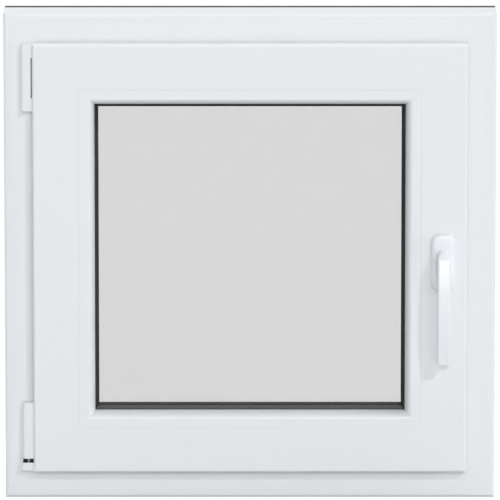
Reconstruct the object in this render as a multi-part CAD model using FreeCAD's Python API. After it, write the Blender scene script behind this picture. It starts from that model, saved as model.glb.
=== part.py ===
import FreeCAD, Part
import math
import os

# Tilt and turn window, one sash, hinged on the left and worked by a handle on the right.
# Millimetres. X runs to the right and Y out through the wall, seen from the room; Z is up.
# The origin is the middle of the sill's underside.
# A section is drawn with u, the distance in from the window's outer edge,
# and v, the distance out from the frame's room face. Minus v stands out into the room.

# Overall size
window_width = 600.0
window_height = 600.0
frame_depth = 70.0

# Frame section
frame_sight = 35.5          # frame left showing beside the sash, seen from the room
frame_body = 44.0           # outer edge to the hardware rebate
frame_stop = 68.0           # outer edge to the end of the outer stop
frame_arris = 4.0
frame_rebate_arris = 1.5
stop_slope = 2.5            # fall of the stop's top, towards the outside
stop_arris = 1.5
back_arris = 1.0            # small rounds on the outer face and in the rebates

# Sash section
sash_proud = 21.5           # how far the sash stands out from the frame's room face
sash_depth = 70.0
seal_gap = 4.0              # between frame and sash, at both seals
hardware_gap = 12.0
sash_face = 56.0            # width of the sash's face, up to the glazing bead
sash_arris = 3.0
sash_outer_arris = 2.0
bead_side_arris = 0.6
lip_slope = 2.0             # fall of the outer glazing lip, towards the outside
lip_arris = 0.8
hardware_groove_width = 16.0
hardware_groove_depth = 9.0
hardware_groove_inset = 18.0

# Hollow chambers
frame_wall = 3.0
sash_wall = 3.0
web = 2.0
room_chamber = 12.0

# Glazing bead
bead_width = 19.0
bead_flat = 10.5            # flat part of the bead's face
bead_foot_height = 3.5
bead_foot_width = 3.0
bead_foot_inset = 12.0
bead_groove_slack = 0.3
bead_back = 4.0             # upright at the bead's end, where the gasket is held

# Glass and its gaskets
pane_thickness = 4.0
glass_cavity = 16.0
glass_edge_slack = 6.0      # for the packers, between the glass and the rebate
gasket_thickness = 3.0
gasket_proud = 4.2          # gasket left showing past the bead
gasket_cover = 6.5          # gasket hidden behind the bead
gasket_nose = 3.0
nose_flat = 1.2
nose_round = 0.4
gasket_tip = 0.9

# Seals between frame and sash
seal_width = 6.0
seal_inset = 2.2
seal_round = 1.2

# Hinges. The lower one stands level with the bottom of the sash.
hinge_width = 13.6
hinge_reach = 14.0          # how far a hinge stands out from the frame
hinge_side_gap = 0.1        # between a hinge cover and the sash
cover_wall = 1.2
cover_front_round = 3.2     # upright front edge away from the sash
top_cover_round = 2.8       # ends of the top cover
bottom_cover_round = 1.4    # ends of the lower cover and of the bearing cap
cover_slack = 0.4           # between a cover and what is inside it
hinge_pin_radius = 1.8
hinge_pin_slack = 0.05
knuckle_radius = 4.2
leaf_thickness = 3.0
leaf_length = 14.0          # leaf along the side of the sash
bracket_plate = 2.5
top_cover_inset = 1.5       # top of the sash down to the top of the cover
top_cover_length = 83.0
slit_inset = 16.5           # top of the cover down to its slit
slit_length = 49.0
slit_width = 2.0
bottom_cover_length = 70.0
bottom_gap = 4.6            # bare pin between the lower cover and the bearing cap
bearing_cap_height = 10.5
bearing_cap_width = 16.0
bearing_rim = 2.2           # wall of the bearing cap that rises beside the gap

# Handle
handle_inset = 64.5         # handle axis, from the window's outer edge
handle_rise = -3.0          # handle axis, from the middle of the window
rosette_width = 29.0
rosette_height = 71.0
rosette_thickness = 11.0
rosette_corner = 10.5
rosette_edge = 5.0
collar_radius = 6.8
collar_slack = 0.3
collar_depth = 6.0
# The lever is drawn twice, from the side and from the front. Drops are below its axis.
lever_length = 122.0        # handle axis to the lever's tip
lever_reach = 49.5          # sash face to the lever's front, where it bows out most
lever_thickness = 10.0
elbow_reach = 40.5          # sash face to the elbow's front
tip_reach = 37.0            # sash face to the tip's front
tip_thickness = 8.5
upper_bow_drop = 26.0
lower_bow_drop = 78.0
bow_radius = 200.0
neck_top = 17.0             # top and underside of the neck, from the axis
neck_underside = 13.0
elbow_rise = 23.0           # height at which the elbow's curve would set out
elbow_radius = 22.0
inner_elbow_radius = 12.0
lever_width = 15.8
tip_corner = 3.0
lever_edge = 2.6            # rounding along the lever's front
lever_back_edge = 1.4       # chamfer along its back and underside
neck_slack = 0.5
spindle_side = 7.0
spindle_length = 36.0
spindle_bore = 6.0          # radius of the hole in the sash
spindle_seat = 8.0          # how deep the spindle sits in the lever
spindle_end_gap = 2.0       # hole left beyond the spindle's end

# Drain caps on the outer face of the sill
drain_spacing = 300.0
drain_length = 42.0
drain_height = 11.0
drain_thickness = 5.0
drain_rise = 13.0
drain_cap_flat = 2.5        # flat top of a cap, before it falls away
drain_slot_length = 30.0
drain_slot_height = 5.0
drain_slot_rise = 2.0       # underside of a cap up to its slot
drain_wall = 1.2

# How far a cutting shape runs past what it cuts
margin = 1.0

# Places that follow from the sizes above
room_face = -frame_depth / 2
centre_height = window_height / 2
sash_bottom = frame_sight
sash_top = window_height - frame_sight
sash_room = -sash_proud
sash_outside = sash_depth - sash_proud
stop_face = sash_outside + seal_gap
sash_body = frame_body + hardware_gap
bead_start = frame_sight + sash_face
bead_end = bead_start + bead_width
daylight = bead_end + gasket_proud
glass_edge = bead_start + glass_edge_slack
glass_room = gasket_thickness
glass_outside = glass_room + 2 * pane_thickness + glass_cavity
lip_face = glass_outside + gasket_thickness

os.makedirs("parts", exist_ok=True)


same_point = 1e-6


def save(shape, node):
    shape.exportStep("parts/" + node + ".step")


def rounded_face(corners):
    """Face in the u-v plane from (u, v, radius) corners, each rounded by its own radius."""
    points = [FreeCAD.Vector(u, v, 0) for u, v, radius in corners]
    count = len(corners)
    edges = []
    ends = []
    for i in range(count):
        here = points[i]
        radius = corners[i][2]
        back = (points[i - 1] - here).normalize()
        ahead = (points[(i + 1) % count] - here).normalize()
        if radius == 0:
            ends.append((here, here, None))
            continue
        half = back.getAngle(ahead) / 2
        reach = radius / math.tan(half)
        middle = (back + ahead).normalize() * (radius / math.sin(half))
        nearest = here + middle - FreeCAD.Vector(middle).normalize() * radius
        ends.append((here + back * reach, here + ahead * reach, nearest))
    for i in range(count):
        start, finish, nearest = ends[i]
        if nearest:
            edges.append(Part.Arc(start, nearest, finish).toShape())
        following = ends[(i + 1) % count][0]
        if finish.distanceToPoint(following) > same_point:
            edges.append(Part.LineSegment(finish, following).toShape())
    return Part.Face(Part.Wire(edges))


def block(u0, u1, v0, v1, z0, z1):
    """Box on the left of the window, from u, v and height."""
    size = (u1 - u0, v1 - v0, z1 - z0)
    corner = FreeCAD.Vector(u0 - window_width / 2, v0 + room_face, z0)
    return Part.makeBox(*size, corner)


def post(u, v, radius, z0, z1):
    """Upright cylinder on the left of the window."""
    foot = FreeCAD.Vector(u - window_width / 2, v + room_face, z0)
    return Part.makeCylinder(radius, z1 - z0, foot)


# Members and rings

sides = {
    "bottom": (0, window_width, window_height),
    "left": (90, window_height, window_width),
    "top": (180, window_width, window_height),
    "right": (270, window_height, window_width),
}


def member(section, side):
    """Extrudes a section along one side of the window, mitred at both ends."""
    turn, length, across = sides[side]
    box = section.BoundBox
    bar = section.copy()
    # u becomes height and v becomes depth, with the extrusion along X
    bar.transformShape(FreeCAD.Matrix(0, 0, 1, 0, 0, 1, 0, 0, 1, 0, 0, 0, 0, 0, 0, 1))
    bar.translate(FreeCAD.Vector(-length / 2, 0, 0))
    bar = bar.extrude(FreeCAD.Vector(length, 0, 0))
    low = box.XMin
    high = box.XMax
    mitre_points = [
        FreeCAD.Vector(low - length / 2, box.YMin - margin, low),
        FreeCAD.Vector(length / 2 - low, box.YMin - margin, low),
        FreeCAD.Vector(length / 2 - high, box.YMin - margin, high),
        FreeCAD.Vector(high - length / 2, box.YMin - margin, high),
    ]
    outline = Part.Face(Part.makePolygon(mitre_points + mitre_points[:1]))
    mitre = outline.extrude(FreeCAD.Vector(0, box.YLength + 2 * margin, 0))
    bar = bar.common(mitre)
    bar.translate(FreeCAD.Vector(0, room_face, -across / 2))
    bar.rotate(FreeCAD.Vector(0, 0, 0), FreeCAD.Vector(0, 1, 0), turn)
    bar.translate(FreeCAD.Vector(0, 0, centre_height))
    return bar.Solids[0]


def ring(section):
    """One closed loop of a section round all four sides."""
    loop = member(section, "bottom")
    for side in ("left", "top", "right"):
        loop = loop.fuse(member(section, side))
    return loop.removeSplitter().Solids[0]


# Frame

def chamber(u0, u1, v0, v1):
    return Part.Face(Part.makePolygon([
        FreeCAD.Vector(u0, v0, 0), FreeCAD.Vector(u1, v0, 0),
        FreeCAD.Vector(u1, v1, 0), FreeCAD.Vector(u0, v1, 0), FreeCAD.Vector(u0, v0, 0)]))


def frame_section():
    outline = rounded_face([
        (0, 0, frame_arris),
        (frame_body, 0, frame_rebate_arris),
        (frame_body, stop_face, 0),
        (frame_stop, stop_face, back_arris),
        (frame_stop - stop_slope, frame_depth, stop_arris),
        (0, frame_depth, back_arris),
    ])
    inner = frame_body - frame_wall
    reinforced = frame_wall + room_chamber + web
    drained = stop_face + frame_wall
    outline = outline.cut(chamber(frame_wall, inner, frame_wall, frame_wall + room_chamber))
    outline = outline.cut(chamber(frame_wall, inner, reinforced, drained - web))
    drain_end = frame_stop - stop_slope - frame_wall
    return outline.cut(chamber(frame_wall, drain_end, drained, frame_depth - frame_wall))


# Sash

def sash_section():
    groove_start = hardware_groove_inset
    groove_end = groove_start + hardware_groove_width
    groove_floor = sash_body + hardware_groove_depth
    foot_start = sash_room + bead_foot_inset - bead_groove_slack
    foot_end = sash_room + bead_foot_inset + bead_foot_width + bead_groove_slack
    foot_floor = bead_start - bead_foot_height - bead_groove_slack
    outline = rounded_face([
        (frame_sight, sash_room, sash_arris),
        (bead_start, sash_room, bead_side_arris),
        (bead_start, foot_start, 0),
        (foot_floor, foot_start, 0),
        (foot_floor, foot_end, 0),
        (bead_start, foot_end, 0),
        (bead_start, lip_face, 0),
        (bead_end, lip_face, lip_arris),
        (bead_end - lip_slope, sash_outside, sash_outer_arris),
        (sash_body, sash_outside, back_arris),
        (sash_body, groove_end, 0),
        (groove_floor, groove_end, 0),
        (groove_floor, groove_start, 0),
        (sash_body, groove_start, 0),
        (sash_body, -seal_gap, 0),
        (frame_sight, -seal_gap, back_arris),
    ])
    inner = foot_floor - sash_wall
    front = sash_room + sash_wall
    lip_end = bead_end - lip_slope - sash_wall
    outline = outline.cut(chamber(frame_sight + sash_wall, inner, front, -seal_gap - sash_wall))
    outline = outline.cut(chamber(groove_floor + sash_wall, inner, -seal_gap, lip_face - web))
    return outline.cut(chamber(sash_body + sash_wall, lip_end, lip_face + sash_wall,
                               sash_outside - sash_wall))


# Glazing beads

def bead_section():
    corner = FreeCAD.Vector(bead_start, sash_room, 0)
    flat_end = FreeCAD.Vector(bead_start + bead_flat, sash_room, 0)
    slope_end = FreeCAD.Vector(bead_end, -bead_back, 0)
    # the visible slope is a quarter of an ellipse, which starts in line with the flat
    middle = FreeCAD.Vector(flat_end.x, slope_end.y, 0)
    slope = Part.Ellipse(flat_end, slope_end, middle)
    foot_start = sash_room + bead_foot_inset
    foot_end = foot_start + bead_foot_width
    foot_floor = bead_start - bead_foot_height
    rest = [
        FreeCAD.Vector(bead_end, 0, 0),
        FreeCAD.Vector(bead_start, 0, 0),
        FreeCAD.Vector(bead_start, foot_end, 0),
        FreeCAD.Vector(foot_floor, foot_end, 0),
        FreeCAD.Vector(foot_floor, foot_start, 0),
        FreeCAD.Vector(bead_start, foot_start, 0),
        corner,
    ]
    edges = [Part.LineSegment(corner, flat_end).toShape()]
    edges.append(Part.ArcOfEllipse(slope, 0, math.pi / 2).toShape())
    edges.append(Part.LineSegment(slope_end, rest[0]).toShape())
    for start, finish in zip(rest, rest[1:]):
        edges.append(Part.LineSegment(start, finish).toShape())
    return Part.Face(Part.Wire(edges))


# Glass unit

def pane(v0):
    low = FreeCAD.Vector(glass_edge - window_width / 2, v0 + room_face, glass_edge)
    return Part.makeBox(window_width - 2 * glass_edge, pane_thickness,
                        window_height - 2 * glass_edge, low)


# Gaskets and seals

def glazing_gasket_section(start, finish, nose):
    """Strip between the glass face and what holds it, with a nose left in sight."""
    return rounded_face([
        (bead_end - gasket_cover, start, 0),
        (bead_end - gasket_cover, finish, 0),
        (bead_end, finish, 0),
        (bead_end, nose, 0),
        (bead_end + nose_flat, nose, nose_round),
        (daylight, start + math.copysign(gasket_tip, finish - start), nose_round),
        (daylight, start, 0),
    ])


def seal_section(start, v0, v1, start_round, end_round):
    """Seal pressed flat between frame and sash, with a round lip on the side that is seen."""
    return rounded_face([
        (start, v0, start_round),
        (start + seal_width, v0, end_round),
        (start + seal_width, v1, end_round),
        (start, v1, start_round),
    ])


# Hinges

hinge_end = frame_sight - hinge_side_gap
hinge_u = hinge_end - hinge_width / 2
hinge_v = cover_wall + cover_slack + knuckle_radius - hinge_reach
leaf_start = hinge_u - leaf_thickness / 2
leaf_v = (seal_gap - leaf_thickness) / 2 - seal_gap
top_cover_top = sash_top - top_cover_inset
top_cover_bottom = top_cover_top - top_cover_length
slit_top = top_cover_top - slit_inset
slit_bottom = slit_top - slit_length
cap_bottom = sash_bottom
cap_top = cap_bottom + bearing_cap_height
bottom_cover_bottom = cap_top + bottom_gap
rim_top = bottom_cover_bottom - cover_slack
bottom_cover_top = bottom_cover_bottom + bottom_cover_length


def cover_body(width, z0, z1, inset):
    """Upright block on the frame's face with one rounded edge, smaller all round by the inset."""
    start = hinge_end - width + inset
    end = hinge_end - inset
    front = inset - hinge_reach
    face = rounded_face([
        (start, 0, 0), (start, front, cover_front_round - inset), (end, front, 0), (end, 0, 0)])
    face.translate(FreeCAD.Vector(-window_width / 2, room_face, z0 + inset))
    return face.extrude(FreeCAD.Vector(0, 0, z1 - z0 - 2 * inset))


def is_rim(edge):
    """True for the edges round a cover's two ends, apart from those by the frame or the sash."""
    box = edge.BoundBox
    by_frame = box.YMin > room_face - same_point
    by_sash = box.XMin > hinge_end - window_width / 2 - same_point
    return box.ZLength < same_point and not by_frame and not by_sash


def hinge_cover(width, z0, z1, end_round, openings):
    """Hollow moulded cover with rounded ends, open towards the frame."""
    outer = cover_body(width, z0, z1, 0)
    rims = [edge for edge in outer.Edges if is_rim(edge)]
    cover = outer.makeFillet(end_round, rims).cut(cover_body(width, z0, z1, cover_wall))
    for opening in openings:
        cover = cover.cut(opening)
    return cover.Solids[0]


def hinge_leaf(z0, z1):
    """Knuckle on the pin, joined to a leaf that goes behind the sash's lip to its side."""
    knuckle = post(hinge_u, hinge_v, knuckle_radius, z0, z1)
    neck = block(leaf_start, leaf_start + leaf_thickness, hinge_v, leaf_v + leaf_thickness, z0, z1)
    plate = block(leaf_start, sash_body, leaf_v, leaf_v + leaf_thickness, z0, z1)
    flange = block(sash_body - leaf_thickness, sash_body, leaf_v, leaf_length, z0, z1)
    leaf = knuckle.fuse([neck, plate, flange])
    bore = post(hinge_u, hinge_v, hinge_pin_radius + hinge_pin_slack, z0, z1)
    return leaf.cut(bore).removeSplitter().Solids[0]


def hinge_lug(z0, z1, start):
    """Eye for the pin on a foot that is screwed to the frame's face."""
    eye = post(hinge_u, hinge_v, knuckle_radius, z0, z1)
    foot = block(hinge_u - knuckle_radius, hinge_u + knuckle_radius, hinge_v, 0, z0, z1)
    plate = block(start, hinge_u + knuckle_radius, -bracket_plate, 0, z0, z1)
    bore = post(hinge_u, hinge_v, hinge_pin_radius + hinge_pin_slack, z0, z1)
    return eye.fuse([foot, plate]).cut(bore)


def leaf_exit(z0, z1, v0):
    """Slot in a cover's side through which the leaf reaches the sash."""
    return block(hinge_end - slit_width, hinge_end + margin, v0, 0, z0, z1)


def save_top_hinge():
    start = hinge_end - hinge_width + cover_wall + cover_slack
    low = top_cover_bottom + cover_wall + cover_slack
    high = top_cover_top - cover_wall - cover_slack
    lower_lug = hinge_lug(low, slit_bottom - cover_slack, start)
    upper_lug = hinge_lug(slit_top + cover_slack, high, start)
    strip = block(start, leaf_start - cover_slack, -bracket_plate, 0, low, high)
    bearing = lower_lug.fuse([upper_lug, strip]).removeSplitter().Solids[0]
    save(bearing, "top_stay_bearing")
    save(hinge_leaf(slit_bottom, slit_top), "top_stay_arm")
    save(post(hinge_u, hinge_v, hinge_pin_radius, low, high), "top_hinge_pin")
    slit = leaf_exit(slit_bottom, slit_top, -hinge_reach - margin)
    cover = hinge_cover(hinge_width, top_cover_bottom, top_cover_top, top_cover_round, [slit])
    save(cover, "top_hinge_cover")


def save_bottom_hinge():
    low = bottom_cover_bottom + cover_wall + cover_slack
    high = bottom_cover_top - cover_wall - cover_slack
    save(hinge_leaf(low, high), "bottom_corner_hinge")
    save(pivot_bearing(), "bottom_pivot_bearing")
    pin_foot = cap_bottom + cover_wall + cover_slack
    save(post(hinge_u, hinge_v, hinge_pin_radius, pin_foot, high), "bottom_hinge_pin")
    pin_hole = hinge_pin_radius + cover_slack
    pin_way = post(hinge_u, hinge_v, pin_hole, bottom_cover_bottom - margin, low)
    side = leaf_exit(low, high, leaf_v - cover_slack)
    cover = hinge_cover(hinge_width, bottom_cover_bottom, bottom_cover_top, bottom_cover_round,
                        [pin_way, side])
    save(cover, "bottom_hinge_cover")
    save(bearing_cap(), "bottom_bearing_cap")


def pivot_bearing():
    """Housing that fills the bearing cap, with a back plate that goes up behind the bare pin."""
    inset = cover_wall + cover_slack
    top = cap_top - cover_slack
    housing = cover_body(bearing_cap_width, cap_bottom, top + inset, inset)
    start = hinge_end - bearing_cap_width + bearing_rim + cover_slack
    back_plate = block(start, hinge_end - inset, -bracket_plate, 0, top - margin, rim_top)
    bore = post(hinge_u, hinge_v, hinge_pin_radius + hinge_pin_slack, cap_bottom, rim_top)
    return housing.fuse(back_plate).cut(bore).removeSplitter().Solids[0]


def bearing_cap():
    """Cup round the pivot bearing, with one side that rises beside the bare pin."""
    cap = hinge_cover(bearing_cap_width, cap_bottom, rim_top, bottom_cover_round, [])
    rim_end = hinge_end - bearing_cap_width + bearing_rim
    gap = block(rim_end, hinge_end + margin, -hinge_reach - margin, margin,
                cap_top, rim_top + margin)
    return cap.cut(gap).Solids[0]


# Handle

handle_x = window_width / 2 - handle_inset
handle_z = centre_height + handle_rise
sash_face_y = room_face - sash_proud


def on_sash_face(shape):
    """Moves a shape made about the handle axis, Y 0 on the sash's face, to its place."""
    shape.translate(FreeCAD.Vector(handle_x, sash_face_y, handle_z))
    return shape


def rod(radius, y0, y1):
    """Round rod along the handle axis."""
    return Part.makeCylinder(radius, y1 - y0, FreeCAD.Vector(0, y0, 0), FreeCAD.Vector(0, 1, 0))


def square_rod(side, y0, y1):
    corner = FreeCAD.Vector(-side / 2, y0, -side / 2)
    return Part.makeBox(side, y1 - y0, side, corner)


def rosette():
    half_width = rosette_width / 2
    half_height = rosette_height / 2
    face = rounded_face([
        (-half_width, -half_height, rosette_corner), (half_width, -half_height, rosette_corner),
        (half_width, half_height, rosette_corner), (-half_width, half_height, rosette_corner)])
    face.rotate(FreeCAD.Vector(0, 0, 0), FreeCAD.Vector(1, 0, 0), 90)
    plate = face.extrude(FreeCAD.Vector(0, -rosette_thickness, 0))
    front = [edge for edge in plate.Edges if edge.BoundBox.YMax < margin - rosette_thickness]
    plate = plate.makeFillet(rosette_edge, front)
    bore = rod(collar_radius + collar_slack, -rosette_thickness, 0)
    return on_sash_face(plate.cut(bore))


def lever_from_side(base):
    """Solid with the lever's outline seen from the side, wider than the lever."""
    # distance out from the sash's face, and height about the axis
    back = lever_reach - lever_thickness
    outline = rounded_face([
        (base, elbow_rise, 0),
        (elbow_reach, elbow_rise, elbow_radius),
        (lever_reach, -upper_bow_drop, bow_radius),
        (lever_reach, -lower_bow_drop, bow_radius),
        (tip_reach, -lever_length, 0),
        (tip_reach - tip_thickness, -lever_length, 0),
        (back, -lower_bow_drop, bow_radius - lever_thickness),
        (back, -neck_underside, inner_elbow_radius),
        (base, -neck_underside, 0),
    ])
    # distance out becomes minus Y and height becomes Z
    outline.transformShape(FreeCAD.Matrix(0, 0, 1, 0, -1, 0, 0, 0, 0, 1, 0, 0, 0, 0, 0, 1))
    outline.translate(FreeCAD.Vector(-lever_width, 0, 0))
    return outline.extrude(FreeCAD.Vector(2 * lever_width, 0, 0))


def lever_from_front():
    """Solid with the lever's outline seen from the front, round at the top."""
    side = lever_width / 2
    outline = rounded_face([
        (-side, neck_top, side), (side, neck_top, side),
        (side, -lever_length, tip_corner), (-side, -lever_length, tip_corner)])
    outline.rotate(FreeCAD.Vector(0, 0, 0), FreeCAD.Vector(1, 0, 0), 90)
    return outline.extrude(FreeCAD.Vector(0, -2 * lever_reach, 0))


def is_corner(edge, base):
    """True for the edges along the lever's sides and across its tip."""
    box = edge.BoundBox
    at_base = box.YMin > -base - same_point
    at_tip = box.ZMin < same_point - lever_length
    across = box.YLength < same_point and box.ZLength < same_point
    outwards = box.XLength < same_point and box.ZLength < same_point
    along_neck = outwards and box.ZMax < same_point - neck_underside and not at_tip
    return not at_base and (along_neck or not outwards) and (at_tip or not across)


def is_front(edge, grip):
    """True for an edge that has the lever's thickness behind it."""
    middle = edge.valueAt((edge.FirstParameter + edge.LastParameter) / 2)
    inwards = -math.copysign(margin, middle.x)
    lengthways = -math.copysign(margin, middle.z + lever_length / 2)
    return grip.isInside(middle + FreeCAD.Vector(inwards, margin, lengthways), same_point, False)


def lever():
    """Bowed lever: a round-topped neck bends down into a grip with rounded edges."""
    base = rosette_thickness + neck_slack
    grip = lever_from_side(base).common(lever_from_front()).Solids[0]
    corners = [edge for edge in grip.Edges if is_corner(edge, base)]
    grip = grip.makeChamfer(lever_back_edge, [e for e in corners if not is_front(e, grip)])
    corners = [edge for edge in grip.Edges if is_corner(edge, base)]
    grip = grip.makeFillet(lever_edge, [e for e in corners if is_front(e, grip)])
    collar = rod(collar_radius, -base - margin, collar_depth - rosette_thickness)
    socket = square_rod(spindle_side, -base - spindle_seat, 0)
    shape = grip.fuse(collar).cut(socket).removeSplitter().Solids[0]
    return on_sash_face(shape)


def spindle():
    start = -rosette_thickness - neck_slack - spindle_seat
    return on_sash_face(square_rod(spindle_side, start, start + spindle_length))


def spindle_hole():
    start = -rosette_thickness - neck_slack - spindle_seat
    return on_sash_face(rod(spindle_bore, -margin, start + spindle_length + spindle_end_gap))


# Drain caps and slots on the outer face of the sill

drain_places = (-drain_spacing / 2, drain_spacing / 2)


def drain_cap(x):
    """Small hood over a drain slot, open underneath."""
    def hood(inset):
        outline = rounded_face([
            (0, 0, 0),
            (0, drain_height - inset, 0),
            (drain_cap_flat - inset, drain_height - inset, 0),
            (drain_thickness - inset, drain_height / 2, 0),
            (drain_thickness - inset, 0, 0),
        ])
        outline.transformShape(FreeCAD.Matrix(0, 0, 1, 0, 1, 0, 0, 0, 0, 1, 0, 0, 0, 0, 0, 1))
        length = drain_length - 2 * inset
        outline.translate(FreeCAD.Vector(x - length / 2, -room_face, drain_rise))
        return outline.extrude(FreeCAD.Vector(length, 0, 0))
    return hood(0).cut(hood(drain_wall)).Solids[0]


def drain_slot(x):
    low = FreeCAD.Vector(x - drain_slot_length / 2, -room_face - frame_wall - margin,
                         drain_rise + drain_slot_rise)
    return Part.makeBox(drain_slot_length, frame_wall + 2 * margin, drain_slot_height, low)


def main():
    frame = frame_section()
    sill = member(frame, "bottom")
    for x in drain_places:
        sill = sill.cut(drain_slot(x))
    save(sill.Solids[0], "frame_sill")
    save(member(frame, "top"), "frame_head")
    save(member(frame, "left"), "frame_jamb_left")
    save(member(frame, "right"), "frame_jamb_right")

    sash = sash_section()
    save(member(sash, "bottom"), "sash_bottom_rail")
    save(member(sash, "top"), "sash_top_rail")
    save(member(sash, "left"), "sash_stile_left")
    save(member(sash, "right").cut(spindle_hole()).Solids[0], "sash_stile_right")

    bead = bead_section()
    for side in sides:
        save(member(bead, side), "glazing_bead_" + side)

    save(pane(glass_room), "glass_pane_inner")
    save(pane(glass_outside - pane_thickness), "glass_pane_outer")
    spacer = chamber(glass_edge, daylight, glass_room + pane_thickness,
                     glass_outside - pane_thickness)
    save(ring(spacer), "glass_spacer")

    inner_gasket = glazing_gasket_section(glass_room, 0, -gasket_nose)
    save(ring(inner_gasket), "glazing_gasket_inner")
    outer_gasket = glazing_gasket_section(glass_outside, lip_face, lip_face + gasket_nose)
    save(ring(outer_gasket), "glazing_gasket_outer")

    sash_seal = ring(seal_section(frame_sight + seal_inset, -seal_gap, 0, seal_round, 0))
    for z0, z1 in ((slit_bottom, slit_top), (bottom_cover_bottom, bottom_cover_top)):
        notch = block(leaf_start, sash_body, -seal_gap - margin, margin, z0 - margin, z1 + margin)
        sash_seal = sash_seal.cut(notch)
    save(sash_seal, "sash_seal")
    stop_seal_start = frame_stop - seal_inset - seal_width
    stop_seal = seal_section(stop_seal_start, sash_outside, stop_face, 0, seal_round)
    save(ring(stop_seal), "frame_stop_seal")

    save_top_hinge()
    save_bottom_hinge()

    save(rosette(), "handle_rosette")
    save(lever(), "handle_lever")
    save(spindle(), "handle_spindle")

    save(drain_cap(drain_places[0]), "drain_cap_left")
    save(drain_cap(drain_places[1]), "drain_cap_right")


main()
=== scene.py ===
import bpy
import math
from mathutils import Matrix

# Looks for a tilt and turn window, built round its CAD solids.
# Metres, X to the right and Y out through the wall, seen from the room, Z up.

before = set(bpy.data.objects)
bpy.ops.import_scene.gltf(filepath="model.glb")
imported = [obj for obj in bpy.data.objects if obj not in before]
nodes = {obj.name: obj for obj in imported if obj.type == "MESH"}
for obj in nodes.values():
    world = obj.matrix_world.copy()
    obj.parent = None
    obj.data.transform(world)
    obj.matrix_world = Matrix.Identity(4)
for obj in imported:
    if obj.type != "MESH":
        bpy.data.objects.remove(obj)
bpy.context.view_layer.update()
mm = 0.001


# Materials

def srgb(hexCode):
    # an sRGB hex value as the linear colour that a shader takes
    channels = [int(hexCode[i:i + 2], 16) / 255 for i in (1, 3, 5)]
    linear = [c / 12.92 if c <= 0.04045 else ((c + 0.055) / 1.055) ** 2.4 for c in channels]
    return (*linear, 1.0)


def addNode(tree, kind, settings=None, links=None):
    # Adds a node, sets its properties or unlinked sockets, and links its other sockets.
    # A Mix node's sockets go by number: 0 is the factor, 2 and 3 take numbers, 6 and 7 colours.
    # Its output 0 gives a number, and 2 a colour.
    node = tree.nodes.new(kind)
    for name, value in (settings or {}).items():
        if isinstance(name, str) and hasattr(node, name):
            setattr(node, name, value)
        else:
            node.inputs[name].default_value = value
    for name, source in (links or {}).items():
        tree.links.new(source, node.inputs[name])
    return node


def newMaterial(name, sockets):
    # a material whose Principled shader has these plain values, and its node tree
    material = bpy.data.materials.new(name)
    material.use_nodes = True
    tree = material.node_tree
    shader = tree.nodes["Principled BSDF"]
    for socket, value in sockets.items():
        shader.inputs[socket].default_value = value
    return material, tree, shader


def stretched(tree, scale):
    # Object coordinates, multiplied by a different number along each axis
    place = addNode(tree, "ShaderNodeTexCoord")
    return addNode(tree, "ShaderNodeMapping", {"Scale": scale},
                   {"Vector": place.outputs["Object"]}).outputs["Vector"]


bumpStrength = 0.5              # of every bump, on top of its own depth

upvcLooks = {
    "ior": 1.53,
    "white": "#E9ECEF",         # white compound with a cool cast
    "whiteWorn": "#E4E7EA",     # the same in the faint lines left by the die
    "foil": "#2C3034",          # anthracite foil on the outside
    "foilGrain": "#34393D",     # the same on the high spots of its grain
    # mm, Y where the foil starts: behind the frame's stop seal, and at the sash's outer lip
    "foilStart": {"frame": 18.5, "sash": -5.0},
    "roughness": 0.34,
    "foilRoughness": 0.75,      # its grain scatters the light
    "dieLine": 1.6,             # mm between die lines, drawn coarser than the real 0.2 mm
    "dieStreak": 400,           # mm that a die line runs on
    "dieNoise": {"Scale": 1.0, "Detail": 2.0, "Roughness": 0.6},
    "lineShare": 0.2,           # height of a die line, as a share of the foil's grain
    "grain": 1.2,               # mm, emboss of the foil
    "grainDepth": 0.02,         # mm
    "grainNoise": {"Scale": 1.0, "Detail": 4.0},
}


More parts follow.
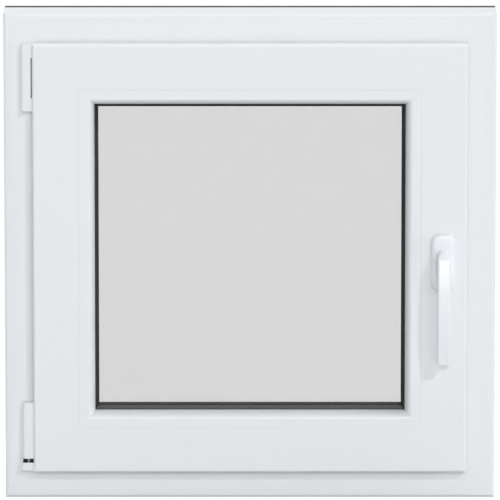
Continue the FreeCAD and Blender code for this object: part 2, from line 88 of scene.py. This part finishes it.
def makeUpvc(name, along, piece):
    # Extruded uPVC: smooth satin white with faint lines along the bar, from the die.
    # Past foilStart, a laminated anthracite foil with a fine leather grain covers it.
    look = upvcLooks
    material, tree, shader = newMaterial(name, {"IOR": look["ior"]})
    across = 1 / (look["dieLine"] * mm)
    scale = [across, across, across]
    scale["XYZ".index(along)] = 1 / (look["dieStreak"] * mm)
    lines = addNode(tree, "ShaderNodeTexNoise", look["dieNoise"],
                    {"Vector": stretched(tree, scale)})
    white = addNode(tree, "ShaderNodeMix", {"data_type": "RGBA", 6: srgb(look["whiteWorn"]),
                                            7: srgb(look["white"])}, {0: lines.outputs["Fac"]})
    size = 1 / (look["grain"] * mm)
    grain = addNode(tree, "ShaderNodeTexNoise", look["grainNoise"],
                    {"Vector": stretched(tree, (size, size, size))})
    dark = addNode(tree, "ShaderNodeMix", {"data_type": "RGBA", 6: srgb(look["foil"]),
                                           7: srgb(look["foilGrain"])}, {0: grain.outputs["Fac"]})
    place = addNode(tree, "ShaderNodeTexCoord")
    depth = addNode(tree, "ShaderNodeSeparateXYZ", links={0: place.outputs["Object"]})
    outside = addNode(tree, "ShaderNodeMath", {
        "operation": "GREATER_THAN", 1: look["foilStart"][piece] * mm},
        {0: depth.outputs["Y"]}).outputs[0]
    colour = addNode(tree, "ShaderNodeMix", {"data_type": "RGBA"}, {
        0: outside, 6: white.outputs[2], 7: dark.outputs[2]})
    shine = addNode(tree, "ShaderNodeMix", {"data_type": "FLOAT", 2: look["roughness"],
                                            3: look["foilRoughness"]}, {0: outside})
    low = addNode(tree, "ShaderNodeMath", {"operation": "MULTIPLY", 1: look["lineShare"]},
                  {0: lines.outputs["Fac"]})
    height = addNode(tree, "ShaderNodeMix", {"data_type": "FLOAT"}, {
        0: outside, 2: low.outputs[0], 3: grain.outputs["Fac"]})
    bump = addNode(tree, "ShaderNodeBump", {
        "Strength": bumpStrength, "Distance": look["grainDepth"] * mm},
        {"Height": height.outputs[0]})
    tree.links.new(colour.outputs[2], shader.inputs["Base Color"])
    tree.links.new(shine.outputs[0], shader.inputs["Roughness"])
    tree.links.new(bump.outputs["Normal"], shader.inputs["Normal"])
    return material


# low and high are the two colours of the speckle, grain its size and depth its height in mm
speckledLooks = {
    # Moulded ASA covers: even satin white, with the fine spark-eroded grain of the mould
    "cover": {
        "name": "moulded ASA", "sockets": {"IOR": 1.52, "Roughness": 0.42},
        "low": "#E6E8EB", "high": "#EBEDF0", "grain": 0.6, "depth": 0.006},
    # Powder-coated aluminium: smooth white, with the soft orange peel of baked powder
    "handle": {
        "name": "powder-coated aluminium", "sockets": {"IOR": 1.5, "Roughness": 0.28},
        "low": "#EAEDF1", "high": "#EDF0F4", "grain": 2.5, "depth": 0.01},
    # Zinc-plated steel: bright grey metal with cloudy spangle, some of it duller
    "zinc": {
        "name": "zinc-plated steel", "sockets": {"Metallic": 1.0},
        "low": "#A9ACAD", "high": "#C4C6C6", "grain": 3.0, "depth": 0.004,
        "roughness": (0.3, 0.45)},
    # EPDM rubber: matt near-black with a soft extruded skin, greyer on its upward faces, a painted
    # highlight for light from above
    "gasket": {
        "name": "extruded EPDM", "sockets": {"IOR": 1.5, "Roughness": 0.62},
        "low": "#1E1F1E", "high": "#282A29", "grain": 0.8, "depth": 0.01, "paintedUpLight": "#5E605F"},
    # Moulded bearing housing: matt black glass-filled nylon; its black also stands in for the
    # shade deep in the gap at the bottom pivot, a painted shade
    "bearing": {
        "name": "moulded black nylon", "sockets": {"IOR": 1.53, "Roughness": 0.55},
        "low": "#1E1F1F", "high": "#262727", "grain": 0.5, "depth": 0.006},
    # Warm-edge spacer: black foil-backed plastic, dull from its desiccant's pinholes
    "spacer": {
        "name": "warm-edge spacer plastic",
        "sockets": {"IOR": 1.5, "Roughness": 0.85, "Specular IOR Level": 0.1},
        "low": "#1A1B1C", "high": "#212223", "grain": 0.5, "depth": 0.005},
    # Moulded drain caps: matt anthracite plastic
    "drainCap": {
        "name": "moulded anthracite ASA", "sockets": {"IOR": 1.52, "Roughness": 0.5},
        "low": "#33383C", "high": "#3A3F43", "grain": 0.6, "depth": 0.006},
}

speckNoise = {"Scale": 1.0, "Detail": 3.0}
# how far up a face looks, where 1 is straight up, for none of the painted highlight and for all of
# it
paintedUpLightSlope = {"From Min": 0.2, "From Max": 0.9}


def makeSpeckled(look):
    # A surface with two close colours in a fine noise, which also raises it a little.
    # Its upward slopes can take a lighter colour, a painted highlight for light from above.
    material, tree, shader = newMaterial(look["name"], look["sockets"])
    scale = 1 / (look["grain"] * mm)
    speck = addNode(tree, "ShaderNodeTexNoise", speckNoise,
                    {"Vector": stretched(tree, (scale, scale, scale))})
    colour = addNode(tree, "ShaderNodeMix", {"data_type": "RGBA", 6: srgb(look["low"]),
                                             7: srgb(look["high"])}, {0: speck.outputs["Fac"]})
    bump = addNode(tree, "ShaderNodeBump", {
        "Strength": bumpStrength, "Distance": look["depth"] * mm},
        {"Height": speck.outputs["Fac"]})
    # painted highlight: faces that look up turn lighter, as if more light fell on them from above
    if "paintedUpLight" in look:
        facing = addNode(tree, "ShaderNodeSeparateXYZ", links={
            0: addNode(tree, "ShaderNodeNewGeometry").outputs["Normal"]})
        paintedLitShare = addNode(tree, "ShaderNodeMapRange", paintedUpLightSlope, {"Value": facing.outputs["Z"]})
        colour = addNode(tree, "ShaderNodeMix", {"data_type": "RGBA", 7: srgb(look["paintedUpLight"])},
                         {0: paintedLitShare.outputs[0], 6: colour.outputs[2]})
    tree.links.new(colour.outputs[2], shader.inputs["Base Color"])
    tree.links.new(bump.outputs["Normal"], shader.inputs["Normal"])
    if "roughness" in look:
        smooth, dull = look["roughness"]
        shine = addNode(tree, "ShaderNodeMix", {"data_type": "FLOAT", 2: smooth, 3: dull},
                        {0: speck.outputs["Fac"]})
        tree.links.new(shine.outputs[0], shader.inputs["Roughness"])
    return material


glassLooks = {
    "tint": "#ECECEC",          # faintly grey, from the soft coat on its inner faces
    "ior": 1.52,
    "roughness": 0.0,
}


def makeGlass(name):
    # Float glass with a soft coat: smooth, faintly grey, mirrors at a slant.
    # Shadow rays pass it, as light does.
    look = glassLooks
    tint = srgb(look["tint"])
    material, tree, shader = newMaterial(name, {
        "Base Color": tint, "IOR": look["ior"], "Roughness": look["roughness"],
        "Transmission Weight": 1.0})
    clear = addNode(tree, "ShaderNodeBsdfTransparent", {"Color": tint})
    path = addNode(tree, "ShaderNodeLightPath")
    mix = addNode(tree, "ShaderNodeMixShader", links={
        0: path.outputs["Is Shadow Ray"], 1: shader.outputs[0], 2: clear.outputs[0]})
    tree.links.new(mix.outputs[0], tree.nodes["Material Output"].inputs["Surface"])
    return material


materials = {
    "frameAlongX": makeUpvc("extruded uPVC frame bar, lying", "X", "frame"),
    "frameAlongZ": makeUpvc("extruded uPVC frame bar, upright", "Z", "frame"),
    "sashAlongX": makeUpvc("extruded uPVC sash bar, lying", "X", "sash"),
    "sashAlongZ": makeUpvc("extruded uPVC sash bar, upright", "Z", "sash"),
    "glass": makeGlass("clear float glass"),
}
for finish, look in speckledLooks.items():
    materials[finish] = makeSpeckled(look)

nodeLooks = {
    "frameAlongX": ["frame_sill", "frame_head"],
    "frameAlongZ": ["frame_jamb_left", "frame_jamb_right"],
    "sashAlongX": ["sash_bottom_rail", "sash_top_rail", "glazing_bead_bottom", "glazing_bead_top"],
    "sashAlongZ": ["sash_stile_left", "sash_stile_right", "glazing_bead_left",
                   "glazing_bead_right"],
    "cover": ["top_hinge_cover", "bottom_hinge_cover", "bottom_bearing_cap"],
    "handle": ["handle_rosette", "handle_lever"],
    "zinc": ["top_stay_bearing", "top_stay_arm", "top_hinge_pin", "bottom_corner_hinge",
             "bottom_hinge_pin", "handle_spindle"],
    # the pivot bearing's black also serves as painted shade in the gap above the bearing cap
    "bearing": ["bottom_pivot_bearing"],
    "gasket": ["glazing_gasket_inner", "glazing_gasket_outer", "sash_seal", "frame_stop_seal"],
    "spacer": ["glass_spacer"],
    "drainCap": ["drain_cap_left", "drain_cap_right"],
    "glass": ["glass_pane_inner", "glass_pane_outer"],
}
for finish, names in nodeLooks.items():
    for name in names:
        nodes[name].data.materials.clear()
        nodes[name].data.materials.append(materials[finish])
print("materials done")


# Stage: floor, background, lamps and camera

pureWhite = (1, 1, 1, 1)

stageLooks = {
    "floorColour": "#CBCCCD",   # what the floor throws back at the object
    "floorRoughness": 0.9,
    "floorSize": 80.0,
    "floorGap": 0.5 * mm,       # under the window, so that no faces coincide
    "shadowKept": 0.22,         # share of the floor's own shading that the camera sees
    "floorWhite": 1.16,         # makes the floor white to the camera where no shadow falls
    "backgroundWhite": 1.0,
}

softLight = {
    # where the light comes from, and how strong it is there
    "outside": ((0, 1, 0), 1.0),
    "left": ((-1, 0, 0), 0.92),
}

noBounce = 0.5                  # bounces are whole numbers, so fewer than this is none


def seenDirectly(tree):
    # 1 for camera rays, also those that passed only glass, which see a white background
    path = addNode(tree, "ShaderNodeLightPath")
    bounces = addNode(tree, "ShaderNodeMath", {"operation": "ADD"}, {
        0: path.outputs["Diffuse Depth"], 1: path.outputs["Glossy Depth"]})
    straight = addNode(tree, "ShaderNodeMath", {"operation": "LESS_THAN", 1: noBounce},
                       {0: bounces.outputs[0]})
    through = addNode(tree, "ShaderNodeMath", {"operation": "MULTIPLY"}, {
        0: straight.outputs[0], 1: path.outputs["Is Transmission Ray"]})
    return addNode(tree, "ShaderNodeMath", {"operation": "MAXIMUM"}, {
        0: through.outputs[0], 1: path.outputs["Is Camera Ray"]}).outputs[0]


def makeFloor():
    # a matt floor that lights the object from below, and looks white but for its shadows
    look = stageLooks
    bpy.ops.object.select_all(action="DESELECT")
    bpy.ops.mesh.primitive_plane_add(size=look["floorSize"], location=(0, 0, -look["floorGap"]))
    floor = bpy.context.object
    floor.name = "studio_floor"
    material, tree, shader = newMaterial("painted studio floor", {
        "Base Color": srgb(look["floorColour"]), "Roughness": look["floorRoughness"],
        "Specular IOR Level": 0.0})
    glow = addNode(tree, "ShaderNodeEmission", {
        "Color": pureWhite, "Strength": look["floorWhite"]})
    share = addNode(tree, "ShaderNodeMath", {"operation": "MULTIPLY", 1: 1 - look["shadowKept"]},
                    {0: seenDirectly(tree)})
    mix = addNode(tree, "ShaderNodeMixShader", links={
        0: share.outputs[0], 1: shader.outputs[0], 2: glow.outputs[0]})
    tree.links.new(mix.outputs[0], tree.nodes["Material Output"].inputs["Surface"])
    floor.data.materials.append(material)


def makeSky():
    # soft light from two sides of the studio, and a white background
    world = bpy.data.worlds.new("studio")
    bpy.context.scene.world = world
    world.use_nodes = True
    tree = world.node_tree
    soft = tree.nodes["Background"]
    place = addNode(tree, "ShaderNodeTexCoord")
    total = None
    for direction, level in softLight.values():
        facing = addNode(tree, "ShaderNodeVectorMath", {"operation": "DOT_PRODUCT", 1: direction},
                         {0: place.outputs["Generated"]})
        lit = addNode(tree, "ShaderNodeMath", {"operation": "MAXIMUM", 1: 0.0},
                      {0: facing.outputs["Value"]})
        share = addNode(tree, "ShaderNodeMath", {"operation": "MULTIPLY", 1: level},
                        {0: lit.outputs[0]})
        if total:
            share = addNode(tree, "ShaderNodeMath", {"operation": "ADD"},
                            {0: share.outputs[0], 1: total.outputs[0]})
        total = share
    soft.inputs["Color"].default_value = pureWhite
    tree.links.new(total.outputs[0], soft.inputs["Strength"])
    backdrop = addNode(tree, "ShaderNodeBackground", {
        "Color": pureWhite, "Strength": stageLooks["backgroundWhite"]})
    mix = addNode(tree, "ShaderNodeMixShader", links={
        0: seenDirectly(tree), 1: soft.outputs[0], 2: backdrop.outputs[0]})
    tree.links.new(mix.outputs[0], tree.nodes["World Output"].inputs["Surface"])


lampSettings = {
    # Azimuth is degrees to the right of the window's front, seen from the room.
    # Spread is how wide the lamp looks, in degrees, and a wide one gives soft shadows.
    "key": {"azimuth": 26, "elevation": 31, "strength": 0.60, "spread": 4},
    "fill": {"azimuth": 0, "elevation": 19, "strength": 0.78, "spread": 10},
    "low": {"azimuth": 10, "elevation": 4, "strength": 0.58, "spread": 16},
    "side": {"azimuth": 80, "elevation": 12, "strength": 1.06, "spread": 30},
    "top": {"azimuth": 125, "elevation": 71, "strength": 1.02, "spread": 40},
}


def addLamps():
    # sun lamps, whose place doesn't matter
    for name, lamp in lampSettings.items():
        tilt = math.radians(90 - lamp["elevation"])
        turn = math.radians(lamp["azimuth"])
        bpy.ops.object.light_add(type="SUN", location=(0, 0, 0), rotation=(tilt, 0, turn))
        light = bpy.context.object
        light.name = name + "_lamp"
        light.data.energy = lamp["strength"]
        light.data.angle = math.radians(lamp["spread"])


cameraSettings = {
    "distance": 7.925,          # m from the middle of the frame's depth
    "height": 1.620,            # m above the sill's underside
    "pitch": 9.44,              # degrees down
    "lens": 471.3,              # mm, with the sensor's width
    "sensor": 36.0,
    "farLimit": 200,            # m, past the floor's edge
}


def addCamera():
    # a long lens from well back, looking a little down, so that the uprights stay near upright
    look = cameraSettings
    tilt = math.radians(90 - look["pitch"])
    bpy.ops.object.camera_add(location=(0, -look["distance"], look["height"]),
                              rotation=(tilt, 0, 0))
    camera = bpy.context.object
    camera.data.lens = look["lens"]
    camera.data.sensor_width = look["sensor"]
    camera.data.clip_end = look["farLimit"]
    bpy.context.scene.camera = camera


makeFloor()
makeSky()
addLamps()
addCamera()
bpy.context.scene.view_settings.view_transform = "Standard"
print("stage done")
